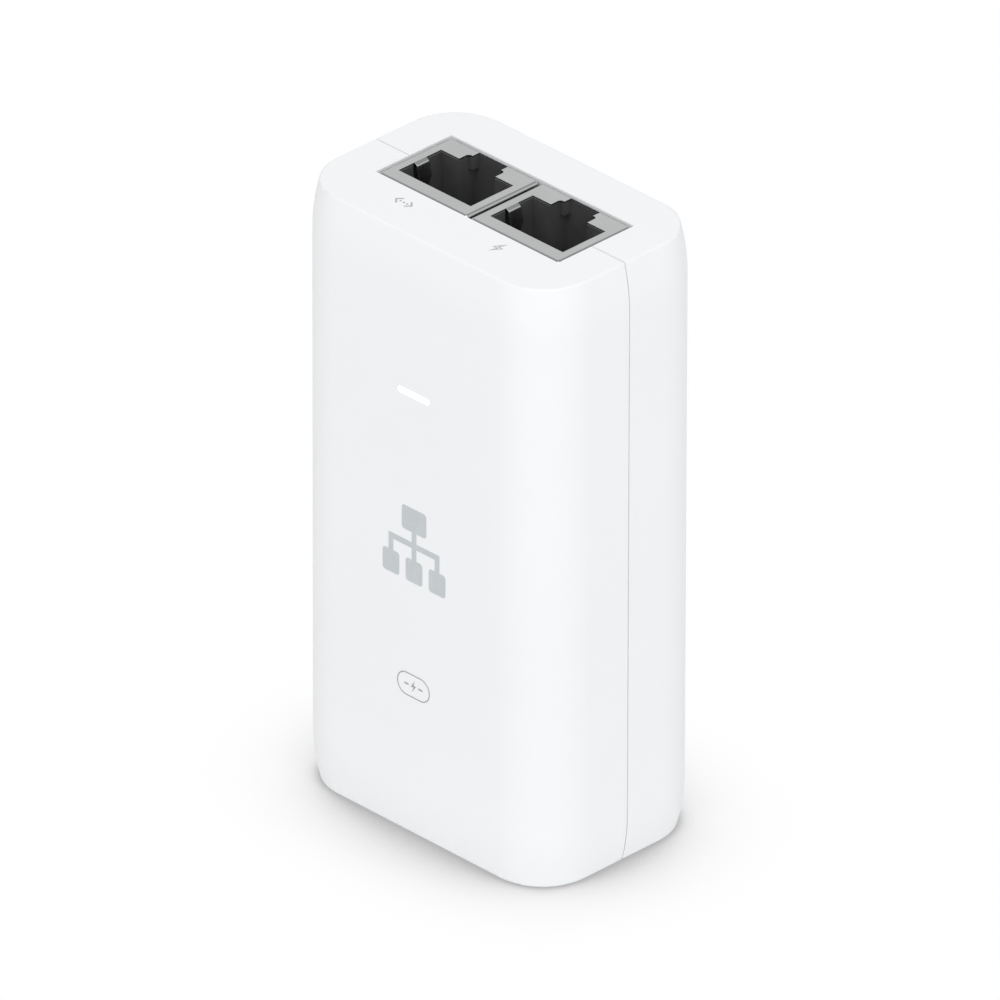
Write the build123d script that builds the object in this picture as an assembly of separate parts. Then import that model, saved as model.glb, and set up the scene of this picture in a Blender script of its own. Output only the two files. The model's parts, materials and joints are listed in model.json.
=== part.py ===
from build123d import *
import os

# A mains power-over-Ethernet injector: an upright two-piece plastic case with two shielded
# sockets in its top end, a mains inlet in its base, and a circuit board between them.
# Millimetres. +Z is up, the marked front faces -Y, and the origin is the centre of the base.

# Case
CASE_WIDTH = 46.4
CASE_DEPTH = 30.4
CASE_HEIGHT = 87.0
CASE_CORNER = 8.4
TAPER_HEIGHT = 7.0
TAPER_INSET = 0.93
END_EDGE = 0.3
WALL = 2.0
SEAM_GAP = 0.02
GROOVE_WIDTH = 0.18
GROOVE_DEPTH = 0.2
LIP_THICKNESS = 0.9
LIP_REACH = 1.2
LIP_ROOT = 0.6
LIP_CLEARANCE = 0.12
CAVITY_X = CASE_WIDTH / 2 - WALL
CAVITY_Y = CASE_DEPTH / 2 - WALL
CAVITY_TOP = CASE_HEIGHT - WALL
RAIL_INNER = 19.6
RAIL_FRONT = -11.1
RAIL_Z = (26, 79)
RIB_INNER = 19.4
RIB_BACK = 6
RIB_LOWS = (45, 68)
RIB_HEIGHT = 10
RAIL_SINK = 0.1

# Status light in the front
WINDOW_LENGTH = 6.0
WINDOW_HEIGHT = 1.0
WINDOW_Z = 64.8
WINDOW_FIT = 0.02
WINDOW_END_FIT = 0.08
FLANGE_HALF = (4, 1.5)
FLANGE_THICKNESS = 1
FLANGE_CORNER = 0.6
STEM_HALF = (2.2, 0.8)
STEM_GAP = 1.3

# Blank label in a shallow recess in the back
LABEL_WIDTH = 27.0
LABEL_HEIGHT = 46.0
LABEL_CORNER = 1.5
LABEL_Z = 41.0
LABEL_RECESS = 0.2
LABEL_THICKNESS = 0.15
LABEL_FIT = 0.2

# Sockets: two shielded eight-way jacks side by side, mouths up, latches to the back.
# Inside a jack, "across" is measured from its board side and "depth" from its mouth.
JACK_WIDTH = 16.0
JACK_THICKNESS = 13.15
JACK_LENGTH = 21.0
JACK_GAP = 0.45
JACK_RECESS = 0.2
JACK_OFFSET_Y = 0.85
JACK_CUTOUT = (32.7, 13.4)
CUTOUT_BEVEL = 0.12
JACK_FACE = CASE_HEIGHT - JACK_RECESS
JACK_BOARD_SIDE = JACK_OFFSET_Y - JACK_THICKNESS / 2
JACK_CENTRE = (JACK_WIDTH + JACK_GAP) / 2
SHEET = 0.25
SHEET_BEND = 0.5
MOUTH_HALF = 6.48
MOUTH_ACROSS = (2.3, 9.85)
LATCH_HALF = 3.25
LATCH_ACROSS = 11.55
LATCH_TIP_HALF = 2.55
LATCH_TIP_ACROSS = 12.8
LATCH_ROUND = 0.45
FINGER_ACROSS = (5.1, 7.2)
FINGER_DROP = 4.2
POCKET_DEPTH = 5.2
POCKET_REACH = 1.0
POCKET_MARGIN = 0.25
CAVITY_HALF = 6.38
CAVITY_ACROSS = (2.4, 9.75)
CAVITY_DEPTH = 13.6
SHOULDER_DEPTH = 2.1
HOUSING_LENGTH = 17.8
SHIELD_CUT_HALF = 6.0
SHIELD_CUT_LEAD = 1.2
CHANNEL_HALF = 4.4
CHANNEL_BACK = 0.7
CHANNEL_START = 1.9
CARRIER_HALF = 5.4
CARRIER_ACROSS = (0.5, 9.5)
CARRIER_DEPTH = (14.0, 20.5)
CARRIER_FIT = (0.05, 0.1)
TONGUE_HALF = 4.3
TONGUE_ACROSS = (0.75, 1.2)
TONGUE_START = 3.0
DIVIDER_HALF = 0.18
DIVIDER_TOP = 1.75
DIVIDER_START = 4.2
CONTACT_COUNT = 8
CONTACT_PITCH = 1.02
CONTACT_WIRE = 0.46
LEAD_ACROSS = 1.45
HINGE_ACROSS = 2.45
HINGE_DEPTH = 3.1
SPRING_TIP = (4.65, 11.5)
SPRING_END = (4.75, 12.6)
LEAD_ROWS = (15.6, 18.1)
LEAD_NOSE = 2.5
LEAD_END = -2.6
SHIELD_LEG_DEPTH = 12.0
SHIELD_LEG_HALF = 0.8
SHIELD_LEG_ACROSS = (-3.0, 1.0)

# Mains inlet: three flat pins in a recess with two cut corners, earth pin to the back
INLET_WIDTH = 27.0
INLET_DEPTH = 19.6
INLET_FACE = 0.3
INLET_BACK = 20.0
INLET_FLOOR = 17.0
INLET_FIT = 0.1
INLET_CORNER = 1.2
COLLAR_GROWTH = 3.0
COLLAR_HEIGHT = 1.6
RECESS_WIDTH = 24.2
RECESS_DEPTH = 16.8
RECESS_CHAMFER = 5.0
RECESS_CORNER = 1.5
PIN_WIDTH = 2.0
PIN_DEPTH = 4.0
PIN_TIP = 1.5
PIN_SPACING = 14.0
PIN_ROW_Y = 2.0
TAB_TOP = 24.5
TAB_HALF = (0.4, 1.6)
EYE_RADIUS = 0.6
EYE_DROP = 1.8
WIRE_RADIUS = 0.9
WIRE_BEND = 2.4
WIRE_Z = 28.0

# Circuit board, standing just in front of the jacks
BOARD_THICKNESS = 1.6
BOARD_HALF = 20.3
BOARD_Z = (22.0, 84.0)
BOARD_BACK = JACK_BOARD_SIDE - 0.05
BOARD_FRONT = BOARD_BACK - BOARD_THICKNESS
LEAD_RADIUS = 0.3
LEAD_HOLE = 0.45
LEAD_STUB = 1.0
CONTACT_HOLE = 0.4
LEG_HOLE_HALF = (0.24, 1.0)

# Where each leaded part's pins meet the board, as (x, z)
FUSE_AT = (-14.0, 27.5)
VARISTOR_AT = (13.5, 27.5)
X_CAPACITOR_AT = (-12.0, 35.3)
CHOKE_AT = (2.8, 36.0)
RECTIFIER_AT = (15.4, 36.0)
BULK_AT = (13.0, 43.0)
Y_CAPACITOR_AT = (4.2, 44.7)
OUTPUT_CAPACITORS_AT = ((4.2, 50.4), (4.2, 57.6))
TRANSISTOR_AT = (-9.0, 41.2)
TRANSFORMER_AT = (-9.0, 55.8)
FUSE_PITCH = 5.08
VARISTOR_PITCH = 5.0
X_CAPACITOR_PITCH = 10.0
CHOKE_PITCH = 8.0
BULK_PITCH = 5.0
Y_CAPACITOR_PITCH = 5.0
OUTPUT_PITCH = 2.5
TRANSISTOR_PITCH = 2.54
TRANSFORMER_PITCH = (3.8, 15.4)
RECTIFIER_PITCH = (5.1, 7.6)
BULK_LEAD_DROP = 1.3
TRANSISTOR_LEAD_RISE = 2.6

# Bodies of the leaded parts: radii, half sizes along X and Z, and tops along Y
FUSE_RADIUS = 4.1
FUSE_TOP = 2.2
VARISTOR_DISC = (4.6, 4.0)
Y_CAPACITOR_DISC = (3.5, 3.2)
X_CAPACITOR_HALF = (6.5, 3)
X_CAPACITOR_TOP = 6.2
RECTIFIER_HALF = (3.2, 4.2)
RECTIFIER_THICKNESS = 3.3
BULK_CAN = (5.0, 20)
OUTPUT_CAN = (3.15, 11)

# Choke: inner and outer radius of its ring, and how far it stands off the board
CHOKE_CORE = (2.8, 5.4)
CHOKE_Y = (BOARD_BACK + 1.4, BOARD_BACK + 6.2)
CHOKE_WIRE = 0.5

# Heatsink plate across the board, with the transistor screwed to its upper face
HEATSINK_X = (-17.6, -3.4)
HEATSINK_Z = (39.8, 41.0)
HEATSINK_TOP = 12.0
PAD_THICKNESS = 0.25
TRANSISTOR_BACK = HEATSINK_Z[1] + PAD_THICKNESS
TRANSISTOR_HALF = 5.0
TAB_THICKNESS = 1.3
SCREW_Y = 8.6

# Transformer, about its own middle: half sizes along X and Z, or X and Y
CORE_HALF = (9.5, 9.0)
CORE_LEGS = (2.7, 5.4)
CORE_BACK = 2.8
CORE_THICKNESS = 5.6
TRANSFORMER_Y = 2.1
WINDING_HALF = (6.6, 6.9)
SPOOL_HALF = 3.6

# Parts soldered to the front of the board: middles as (x, z), rows as (x, z, count)
OPTOCOUPLER_AT = (-3.0, 54.0)
POWER_CONTROLLER_AT = (-12.0, 38.6)
POE_CONTROLLER_AT = (-11.0, 57.0)
NETWORK_TRANSFORMER_AT = (0, 80.0)
INDUCTOR_AT = (12.5, 49.5)
DIODE_AT = (12.0, 59.0)
RESISTOR_ROWS = ((-4.5, 34.0, 3), (-17.8, 50.0, 5), (9.0, 32.0, 3))
CAPACITOR_ROWS = ((2.0, 34.5, 2), (-1.5, 58.5, 2), (17.0, 52.0, 3))
SURFACE_PART = (2.0, 1.25)
SURFACE_PART_GAP = 1.2


def block(x, y, z):
    """Box between a low and a high limit on each axis."""
    spans = (x, y, z)
    middle = [(low + high) / 2 for low, high in spans]
    size = [high - low for low, high in spans]
    return Pos(*middle) * Box(*size)


def both_sides(half):
    """Limits the same distance each side of the middle."""
    return (-half, half)


def peg(x, z, y, radius):
    """Round peg along Y, between a low and a high Y."""
    return Pos(x, sum(y) / 2, z) * Rot(90, 0, 0) * Cylinder(radius, y[1] - y[0])


def upright(x, y, z, radius):
    """Round bar along Z, between a low and a high Z."""
    return Pos(x, y, sum(z) / 2) * Cylinder(radius, z[1] - z[0])


def grid_places(middle, count_x, count_z, pitch_x, pitch_z):
    """Places on the board on a grid about a middle place."""
    places = []
    for column in range(count_x):
        for row in range(count_z):
            x = middle[0] + (column - (count_x - 1) / 2) * pitch_x
            z = middle[1] + (row - (count_z - 1) / 2) * pitch_z
            places.append((x, z))
    return places


def leads(places, top):
    """Tinned leads from a part, at height top in Y, down through the board."""
    low = BOARD_FRONT - LEAD_STUB
    return [peg(x, z, (low, top), LEAD_RADIUS) for x, z in places]


def rounded(solid, axis, radius):
    """The solid with its edges along one axis rounded."""
    return fillet(solid.edges().filter_by(axis), radius)


def wire(points, bends, radius):
    """Round wire along straight runs joined by arcs."""
    path = FilletPolyline(*points, radius=bends)
    section = Plane(origin=path @ 0, z_dir=path % 0) * Circle(radius)
    return sweep(section, path=path)


# Case


def case_half_section(reach):
    """Upright half section: a straight side that curves in towards both ends."""
    end = reach - TAPER_INSET
    low = TAPER_HEIGHT
    high = CASE_HEIGHT - TAPER_HEIGHT
    outline = [
        Line((0, 0), (end, 0)),
        TangentArc((reach, low), (end, 0), tangent=(0, -1)),
        Line((reach, low), (reach, high)),
        TangentArc((reach, high), (end, CASE_HEIGHT), tangent=(0, 1)),
        Line((end, CASE_HEIGHT), (0, CASE_HEIGHT)),
        Line((0, CASE_HEIGHT), (0, 0)),
    ]
    section = make_face(outline)
    rims = section.vertices().filter_by(lambda corner: abs(corner.X - end) < 0.01)
    return Plane.XZ * fillet(rims, END_EDGE)


def case_side(reach, half_length):
    """Straight wall of the case towards +X, filled in to the centre."""
    return extrude(case_half_section(reach), amount=half_length, both=True)


def case_outside():
    """Solid outer form: a rounded rectangle in plan, slightly tapered at both ends."""
    flat_x = CASE_WIDTH / 2 - CASE_CORNER
    flat_y = CASE_DEPTH / 2 - CASE_CORNER
    corner = revolve(case_half_section(CASE_CORNER), Axis.Z, 90)
    form = Part()
    for turn in (0, 180):
        form += Rot(0, 0, turn) * case_side(CASE_WIDTH / 2, flat_y)
        form += Rot(0, 0, turn + 90) * case_side(CASE_DEPTH / 2, flat_x)
    corner_places = ((1, 1, 0), (-1, 1, 90), (-1, -1, 180), (1, -1, 270))
    for side_x, side_y, turn in corner_places:
        form += Pos(side_x * flat_x, side_y * flat_y, 0) * Rot(0, 0, turn) * corner
    return form


def case_cavity():
    """Hollow of the case."""
    plan = RectangleRounded(2 * CAVITY_X, 2 * CAVITY_Y, CASE_CORNER - WALL)
    return Pos(0, 0, WALL) * extrude(plan, amount=CASE_HEIGHT - 2 * WALL)


def end_openings():
    """Jack opening in the top end and inlet opening in the base."""
    jacks = Pos(0, JACK_OFFSET_Y, CASE_HEIGHT) * Box(*JACK_CUTOUT, 4 * WALL)
    width, depth = JACK_CUTOUT
    rim = Pos(0, JACK_OFFSET_Y, CASE_HEIGHT) * Rectangle(width + 2 * CUTOUT_BEVEL, depth + 2 * CUTOUT_BEVEL)
    root = Pos(0, JACK_OFFSET_Y, CASE_HEIGHT - CUTOUT_BEVEL) * Rectangle(width, depth)
    jacks += loft([root, rim])
    inlet_plan = RectangleRounded(INLET_WIDTH + 2 * INLET_FIT, INLET_DEPTH + 2 * INLET_FIT, INLET_CORNER)
    inlet = Pos(0, 0, -WALL) * extrude(inlet_plan, amount=3 * WALL)
    return jacks + inlet


def seam_ring(growth, y):
    """Band that follows the inside of the case wall at the seam."""
    reach = LIP_THICKNESS + growth
    outer = block(
        (-CAVITY_X - reach, CAVITY_X + reach), y, (WALL - reach, CAVITY_TOP + reach)
    )
    inner = block((-CAVITY_X, CAVITY_X), y, (WALL, CAVITY_TOP))
    return outer - inner


def seam_groove():
    """Shallow groove round the outside where the two halves meet."""
    half = case_half_section(CASE_WIDTH / 2)
    section = half + mirror(half, about=Plane.YZ)
    kept = extrude(offset(section, -GROOVE_DEPTH), amount=1, both=True)
    band = block((-CASE_WIDTH, CASE_WIDTH), both_sides(GROOVE_WIDTH / 2), (-1, CASE_HEIGHT + 1))
    return band - kept


def case_half(shell, front):
    """One half of the case shell, cut back from the seam."""
    far = CASE_DEPTH
    near = SEAM_GAP / 2
    y = (-far, -near) if front else (near, far)
    keep = block((-CASE_WIDTH, CASE_WIDTH), y, (-1, CASE_HEIGHT + 1))
    return shell & keep


def front_cover(shell):
    """Front half of the case, with the seam lip, the light window and the board rails."""
    cover = case_half(shell, front=True)
    cover += seam_ring(0, (-LIP_ROOT, LIP_REACH))
    cover -= end_openings()
    window = Plane.XZ * SlotOverall(WINDOW_LENGTH, WINDOW_HEIGHT)
    cover -= Pos(0, -CAVITY_Y, WINDOW_Z) * extrude(window, amount=WALL, both=True)
    for side in (-1, 1):
        rail_x = sorted((side * RAIL_INNER, side * (CAVITY_X + RAIL_SINK)))
        cover += block(rail_x, (RAIL_FRONT, BOARD_FRONT - 0.02), RAIL_Z)
    return cover


def rear_cover(shell):
    """Back half of the case, with the seam rebate, the label recess and the board ribs."""
    cover = case_half(shell, front=False)
    cover -= seam_ring(LIP_CLEARANCE, (-1, LIP_REACH + LIP_CLEARANCE))
    cover -= end_openings()
    recess = Plane.XZ * RectangleRounded(LABEL_WIDTH, LABEL_HEIGHT, LABEL_CORNER)
    cover -= Pos(0, CASE_DEPTH / 2, LABEL_Z) * extrude(recess, amount=LABEL_RECESS, both=True)
    for side in (-1, 1):
        for low in RIB_LOWS:
            span = (low, low + RIB_HEIGHT)
            arm_x = sorted((side * RIB_INNER, side * (CAVITY_X - 0.15)))
            root_x = sorted((side * RIB_INNER, side * (CAVITY_X + RAIL_SINK)))
            cover += block(arm_x, (BOARD_BACK + 0.02, RIB_BACK), span)
            cover += block(root_x, (LIP_REACH + 2 * LIP_CLEARANCE, RIB_BACK), span)
    return cover


def led_light_pipe():
    """Clear light pipe: a slim window flush with the front, a flange and a stem."""
    window = Plane.XZ * SlotOverall(WINDOW_LENGTH - 2 * WINDOW_END_FIT, WINDOW_HEIGHT - 2 * WINDOW_FIT)
    head = Pos(0, -CAVITY_Y, WINDOW_Z) * extrude(window, amount=WALL)
    behind = -CAVITY_Y + FLANGE_THICKNESS
    flange_z = (WINDOW_Z - FLANGE_HALF[1], WINDOW_Z + FLANGE_HALF[1])
    flange = block(both_sides(FLANGE_HALF[0]), (-CAVITY_Y, behind), flange_z)
    stem_z = (WINDOW_Z - STEM_HALF[1], WINDOW_Z + STEM_HALF[1])
    stem = block(both_sides(STEM_HALF[0]), (behind, BOARD_FRONT - STEM_GAP), stem_z)
    return head + rounded(flange, Axis.Y, FLANGE_CORNER) + stem


def rating_label():
    """Blank label lying in its recess in the back."""
    width = LABEL_WIDTH - 2 * LABEL_FIT
    height = LABEL_HEIGHT - 2 * LABEL_FIT
    plan = Plane.XZ * RectangleRounded(width, height, LABEL_CORNER - LABEL_FIT)
    back = CASE_DEPTH / 2 - LABEL_RECESS + LABEL_THICKNESS
    return Pos(0, back, LABEL_Z) * extrude(plan, amount=LABEL_THICKNESS)


# Jacks, made about x = 0 and moved to their places


def jack_block(x, across, depth):
    """Block in a jack: across from its board side, depth from its mouth."""
    y = [JACK_BOARD_SIDE + value for value in across]
    z = [JACK_FACE - depth[1], JACK_FACE - depth[0]]
    return block(x, y, z)


def latch_notch(depth):
    """Wide part of the latch opening, its two far corners rounded."""
    notch = jack_block(both_sides(LATCH_HALF), (MOUTH_ACROSS[1] - 1, LATCH_ACROSS), depth)
    far = notch.edges().filter_by(Axis.Z).group_by(Axis.Y)[-1]
    return fillet(far, LATCH_ROUND)


def jack_mouth(depth):
    """Stepped opening of a jack: the plug's body, then the latch towards the back."""
    opening = jack_block(both_sides(MOUTH_HALF), MOUTH_ACROSS, depth)
    opening += latch_notch(depth)
    opening += jack_block(both_sides(LATCH_TIP_HALF), (LATCH_ACROSS - 1, LATCH_TIP_ACROSS), depth)
    return opening


def shield_finger():
    """Sprung tongue folded in from one side of the mouth to press on the plug."""
    edge = -SHEET / 2
    route = [
        (MOUTH_HALF + 0.8, edge),
        (MOUTH_HALF, edge),
        (MOUTH_HALF - 0.4, edge - 0.25),
        (MOUTH_HALF - 0.9, -2.1),
        (MOUTH_HALF - 0.2, -FINGER_DROP),
    ]
    strip = Plane.XZ * trace(FilletPolyline(*route, radius=0.2), SHEET)
    width = FINGER_ACROSS[1] - FINGER_ACROSS[0]
    back = JACK_BOARD_SIDE + FINGER_ACROSS[1]
    return Pos(0, back, JACK_FACE) * extrude(strip, amount=width)


def jack_shield():
    """Folded sheet can, open at the bottom, with mouth, side tongues and board legs."""
    half = JACK_WIDTH / 2
    can = jack_block(both_sides(half), (0, JACK_THICKNESS), (0, JACK_LENGTH))
    bends = can.edges().filter_by(Axis.Z) + can.faces().sort_by(Axis.Z)[-1].edges()
    can = fillet(bends, SHEET_BEND)
    inside = jack_block(
        both_sides(half - SHEET), (SHEET, JACK_THICKNESS - SHEET), (SHEET, JACK_LENGTH + 1)
    )
    bends = inside.edges().filter_by(Axis.Z) + inside.faces().sort_by(Axis.Z)[-1].edges()
    can -= fillet(bends, SHEET_BEND - SHEET)
    can -= jack_mouth((-1, 1))
    cut_depth = (LEAD_ROWS[0] - SHIELD_CUT_LEAD, JACK_LENGTH + 1)
    can -= jack_block(both_sides(SHIELD_CUT_HALF), (-1, 1), cut_depth)
    finger = shield_finger()
    can += finger + mirror(finger, about=Plane.YZ)
    for side in (-1, 1):
        leg_x = sorted((side * (half - SHEET), side * half))
        leg_depth = (SHIELD_LEG_DEPTH - SHIELD_LEG_HALF, SHIELD_LEG_DEPTH + SHIELD_LEG_HALF)
        can += jack_block(leg_x, SHIELD_LEG_ACROSS, leg_depth)
    return can


def jack_housing():
    """Moulded body in the shield: plug cavity, latch slot, pockets and contact channel."""
    half = JACK_WIDTH / 2 - SHEET
    back = JACK_THICKNESS - SHEET
    body = jack_block(both_sides(half), (SHEET, back), (SHEET, HOUSING_LENGTH))
    bends = body.edges().filter_by(Axis.Z) + body.faces().sort_by(Axis.Z)[-1].edges()
    body = fillet(bends, SHEET_BEND - SHEET)
    cavity = (0, CAVITY_DEPTH)
    slot = (LATCH_ACROSS, LATCH_TIP_ACROSS - 0.1)
    body -= jack_block(both_sides(CAVITY_HALF), CAVITY_ACROSS, cavity)
    body -= jack_block(both_sides(LATCH_HALF), (CAVITY_ACROSS[1], LATCH_ACROSS), cavity)
    body -= jack_block(both_sides(LATCH_TIP_HALF), slot, cavity)
    body -= jack_block(both_sides(LATCH_HALF), slot, (SHOULDER_DEPTH, CAVITY_DEPTH))
    pocket_across = (FINGER_ACROSS[0] - POCKET_MARGIN, FINGER_ACROSS[1] + POCKET_MARGIN)
    for side in (-1, 1):
        pocket_x = sorted((side * CAVITY_HALF, side * (CAVITY_HALF + POCKET_REACH)))
        body -= jack_block(pocket_x, pocket_across, (0, POCKET_DEPTH))
    channel_depth = (CHANNEL_START, HOUSING_LENGTH + 1)
    body -= jack_block(both_sides(CHANNEL_HALF), (CHANNEL_BACK, CAVITY_ACROSS[0]), channel_depth)
    seat_half = CARRIER_HALF + CARRIER_FIT[0]
    seat_back = CARRIER_ACROSS[1] + CARRIER_FIT[1]
    body -= jack_block(both_sides(seat_half), (0, seat_back), (CAVITY_DEPTH, HOUSING_LENGTH + 1))
    return body


def contact_places():
    """Sideways place of each contact wire."""
    middle = (CONTACT_COUNT - 1) / 2
    return [(index - middle) * CONTACT_PITCH for index in range(CONTACT_COUNT)]


def contact_carrier():
    """Insert behind the plug cavity: a tongue with dividers, and a slotted block."""
    tongue = jack_block(both_sides(TONGUE_HALF), TONGUE_ACROSS, (TONGUE_START, CARRIER_DEPTH[0]))
    heel = jack_block(both_sides(CARRIER_HALF), CARRIER_ACROSS, CARRIER_DEPTH)
    carrier = tongue + heel
    for place in contact_places()[:-1]:
        gap = place + CONTACT_PITCH / 2
        wall_x = (gap - DIVIDER_HALF, gap + DIVIDER_HALF)
        wall_across = (TONGUE_ACROSS[1], DIVIDER_TOP)
        carrier += jack_block(wall_x, wall_across, (DIVIDER_START, CARRIER_DEPTH[0]))
    slot_half = CONTACT_WIRE / 2 + 0.04
    for place in contact_places():
        slot_x = (place - slot_half, place + slot_half)
        carrier -= jack_block(slot_x, (0, LEAD_ACROSS + slot_half), (13, LEAD_ROWS[1] + 0.4))
    return carrier


def jack_point(place, across, depth):
    """Point in a jack."""
    return (place, JACK_BOARD_SIDE + across, JACK_FACE - depth)


def contact_leads():
    """Fixed parts of the contact wires: nose bend, run along the tongue, board pin."""
    pins = []
    for index, place in enumerate(contact_places()):
        row = LEAD_ROWS[index % 2]
        route = [
            jack_point(place, HINGE_ACROSS, HINGE_DEPTH - 0.13),
            jack_point(place, HINGE_ACROSS, LEAD_NOSE),
            jack_point(place, LEAD_ACROSS, LEAD_NOSE),
            jack_point(place, LEAD_ACROSS, row),
            jack_point(place, LEAD_END, row),
        ]
        pins.append(wire(route, [0.45, 0.45, 0.6], CONTACT_WIRE / 2))
    return Compound(children=pins)


def contact_springs():
    """Free parts of the contact wires, sloping from the nose into the plug's path."""
    beams = []
    for place in contact_places():
        route = [
            jack_point(place, HINGE_ACROSS, HINGE_DEPTH),
            jack_point(place, *SPRING_TIP),
            jack_point(place, *SPRING_END),
        ]
        beams.append(wire(route, [0.8], CONTACT_WIRE / 2))
    return Compound(children=beams)


# Mains inlet


def inlet_recess():
    """Connector recess: rounded corners to the front, two cut corners to the back."""
    half_x = RECESS_WIDTH / 2
    half_y = RECESS_DEPTH / 2
    plan = Rectangle(RECESS_WIDTH, RECESS_DEPTH)
    plan = fillet(plan.vertices().sort_by(Axis.Y)[:2], RECESS_CORNER)
    back = plan.vertices().filter_by(lambda corner: corner.Y > half_y - 0.01)
    plan = chamfer(back.filter_by(lambda corner: abs(corner.X) > half_x - 0.01), RECESS_CHAMFER)
    return extrude(plan, amount=INLET_FLOOR)


def pin_places():
    """Line, neutral and earth pins, as (x, y)."""
    half = PIN_SPACING / 2
    return {"line": (-half, -PIN_ROW_Y), "neutral": (half, -PIN_ROW_Y), "earth": (0, PIN_ROW_Y)}


def inlet_housing():
    """Moulded inlet body with a collar that the case closes on."""
    plan = RectangleRounded(INLET_WIDTH, INLET_DEPTH, INLET_CORNER)
    body = Pos(0, 0, INLET_FACE) * extrude(plan, amount=INLET_BACK - INLET_FACE)
    collar_plan = RectangleRounded(INLET_WIDTH + COLLAR_GROWTH, INLET_DEPTH + COLLAR_GROWTH, 1.5)
    body += Pos(0, 0, WALL + 0.05) * extrude(collar_plan, amount=COLLAR_HEIGHT)
    body -= inlet_recess()
    rim = body.edges().group_by(Axis.Z)[0]
    body = chamfer(rim, 0.25)
    for x, y in pin_places().values():
        body -= Pos(x, y, INLET_FLOOR) * Box(PIN_WIDTH, PIN_DEPTH, 4 * WALL)
    return body


def inlet_pin(x, y):
    """Flat pin with a rounded tip, and a thinner solder tab behind the inlet."""
    blade = block(
        (x - PIN_WIDTH / 2, x + PIN_WIDTH / 2),
        (y - PIN_DEPTH / 2, y + PIN_DEPTH / 2),
        (PIN_TIP, INLET_BACK),
    )
    blade = chamfer(blade.faces().sort_by(Axis.Z)[0].edges(), 0.6)
    tab_x, tab_y = TAB_HALF
    tab = block((x - tab_x, x + tab_x), (y - tab_y, y + tab_y), (INLET_BACK, TAB_TOP))
    eye = Pos(x, y, TAB_TOP - EYE_DROP) * Rot(0, 90, 0) * Cylinder(EYE_RADIUS, 4)
    return blade + tab - eye


def mains_wire(x, y):
    """Insulated wire from a pin's tab up and over to the board."""
    route = [(x, y, TAB_TOP), (x, y, WIRE_Z), (x, BOARD_BACK, WIRE_Z)]
    return wire(route, [WIRE_BEND], WIRE_RADIUS)


# Circuit board and what stands on its back


def transistor_lead_places():
    """Places of the transistor's three leads."""
    x, z = TRANSISTOR_AT
    return grid_places((x, z + TRANSISTOR_LEAD_RISE), 3, 1, TRANSISTOR_PITCH, 0)


def leaded_places():
    """Every place where a part's pin goes through the board."""
    places = grid_places(FUSE_AT, 2, 1, FUSE_PITCH, 0)
    places += grid_places(VARISTOR_AT, 2, 1, VARISTOR_PITCH, 0)
    places += grid_places(X_CAPACITOR_AT, 2, 1, X_CAPACITOR_PITCH, 0)
    places += grid_places(CHOKE_AT, 2, 2, CHOKE_PITCH, CHOKE_PITCH)
    places += grid_places(RECTIFIER_AT, 2, 2, *RECTIFIER_PITCH)
    places += grid_places((BULK_AT[0], BULK_AT[1] - BULK_LEAD_DROP), 2, 1, BULK_PITCH, 0)
    places += grid_places(Y_CAPACITOR_AT, 2, 1, Y_CAPACITOR_PITCH, 0)
    for centre in OUTPUT_CAPACITORS_AT:
        places += grid_places(centre, 2, 1, OUTPUT_PITCH, 0)
    places += transistor_lead_places()
    places += grid_places(TRANSFORMER_AT, 4, 2, *TRANSFORMER_PITCH)
    return places


def main_board():
    """Glass-epoxy board with holes for pins, jack legs and jack contacts."""
    board = block(both_sides(BOARD_HALF), (BOARD_FRONT, BOARD_BACK), BOARD_Z)
    board = rounded(board, Axis.Y, 1.0)
    through = (BOARD_FRONT - 1, BOARD_BACK + 1)
    holes = [peg(x, z, through, LEAD_HOLE) for x, z in leaded_places()]
    for jack in (-JACK_CENTRE, JACK_CENTRE):
        for index, place in enumerate(contact_places()):
            z = JACK_FACE - LEAD_ROWS[index % 2]
            holes.append(peg(jack + place, z, through, CONTACT_HOLE))
        for side in (-1, 1):
            x = jack + side * (JACK_WIDTH / 2 - SHEET / 2)
            z = JACK_FACE - SHIELD_LEG_DEPTH
            slot_x, slot_z = LEG_HOLE_HALF
            holes.append(block((x - slot_x, x + slot_x), through, (z - slot_z, z + slot_z)))
    return board - holes


def status_led():
    """Surface-mounted light behind the light pipe: a base and a domed lens."""
    base = block((-1.6, 1.6), (BOARD_FRONT - 0.6, BOARD_FRONT), (WINDOW_Z - 0.8, WINDOW_Z + 0.8))
    lens = block((-1.1, 1.1), (BOARD_FRONT - 1.1, BOARD_FRONT - 0.6), (WINDOW_Z - 0.6, WINDOW_Z + 0.6))
    return base + rounded(lens, Axis.Y, 0.4)


def fuse():
    """Round radial fuse."""
    x, z = FUSE_AT
    cap = peg(x, z, (BOARD_BACK + 0.4, FUSE_TOP), FUSE_RADIUS)
    cap = fillet(cap.faces().sort_by(Axis.Y)[-1].edges(), 0.5)
    foot = peg(x, z, (BOARD_BACK + 0.1, BOARD_BACK + 0.5), FUSE_RADIUS - 0.7)
    return cap + foot + leads(grid_places(FUSE_AT, 2, 1, FUSE_PITCH, 0), BOARD_BACK + 1)


def disc_part(at, pitch, radius, thickness):
    """Dipped disc standing on the board on two leads."""
    x, z = at
    middle = BOARD_BACK + 1.0 + radius
    disc = Pos(x, middle, z) * Cylinder(radius, thickness)
    disc = fillet(disc.edges(), thickness * 0.4)
    return disc + leads(grid_places(at, 2, 1, pitch, 0), middle - radius * 0.4)


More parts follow.
